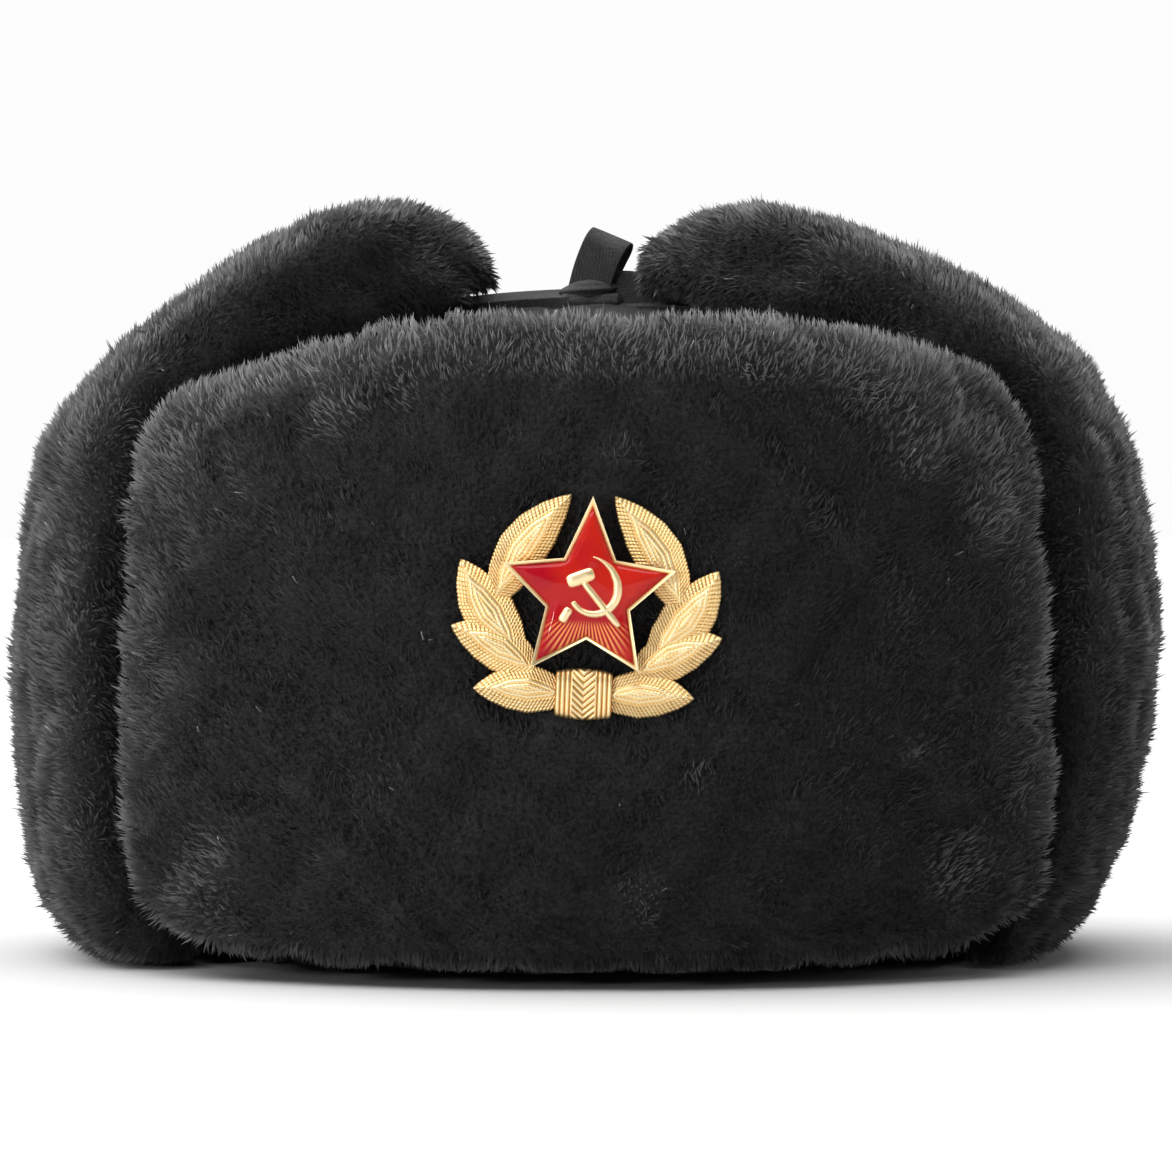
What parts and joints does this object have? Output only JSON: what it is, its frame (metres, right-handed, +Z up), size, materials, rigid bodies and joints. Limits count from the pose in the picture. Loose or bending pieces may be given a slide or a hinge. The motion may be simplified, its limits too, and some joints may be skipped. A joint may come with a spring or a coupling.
{
  "type": "ushanka",
  "caption": "Fur hat with a padded cloth crown, ear flaps turned up and tied over it, and an enamelled star cockade on the forehead flap.",
  "frame": {"origin": "middle of the footprint, on the surface that the hat rests on", "axes": "+Z up, the forehead faces -Y, and +X is the right side of the picture, the wearer's left"},
  "size_m": [0.2478, 0.2582, 0.1638],
  "materials": {
    "crown_cloth": "matt woven cloth over padding",
    "black_fur": "dense soft pile with a grey sheen",
    "tie_tape": "flat woven tape",
    "gilt_metal": "stamped and gilt, satin",
    "red_enamel": "glossy translucent enamel"
  },
  "bodies": {
    "root": {"crown": "crown_cloth", "front_flap": "black_fur", "neck_flap": "black_fur", "ear_flap_left": "black_fur", "ear_flap_right": "black_fur", "tie_tape_left": "tie_tape", "tie_tape_right": "tie_tape", "tie_knot": "tie_tape", "tie_loop": "tie_tape", "badge_wreath": "gilt_metal", "badge_star": "gilt_metal", "badge_enamel": "red_enamel"}
  },
  "joints": []
}
